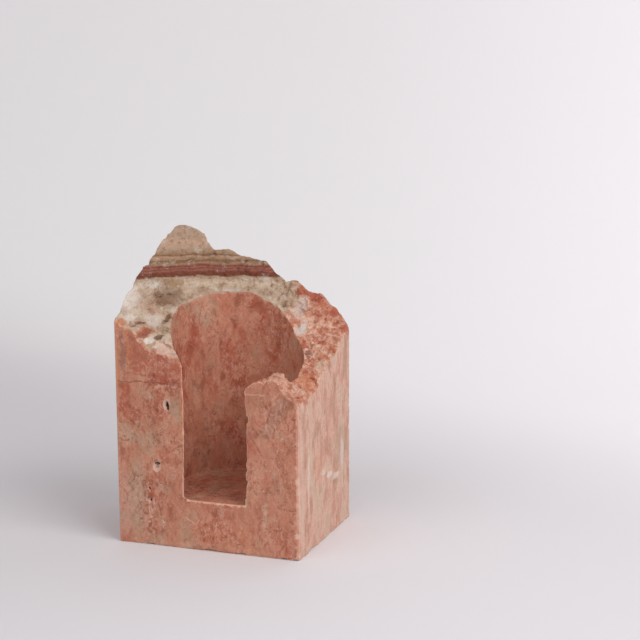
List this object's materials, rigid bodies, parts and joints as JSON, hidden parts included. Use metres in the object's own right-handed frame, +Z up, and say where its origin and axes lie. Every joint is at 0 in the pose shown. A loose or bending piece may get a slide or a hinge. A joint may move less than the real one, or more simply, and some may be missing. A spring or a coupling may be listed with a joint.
{
  "type": "wine bottle holder",
  "caption": "Table-top bottle holder drilled from one block of banded stone, with sawn sides, a natural broken top and a tall open window in front of the well.",
  "frame": {"origin": "on the table under the middle of the block's footprint", "axes": "+Z up, the drilled well's mouth upwards; the window in the sawn front face looks towards -Y; +X to the right seen from the front"},
  "size_m": [0.141, 0.113, 0.2244],
  "materials": {
    "stone": "matte"
  },
  "bodies": {
    "root": {"stone_block": "stone"}
  },
  "joints": []
}
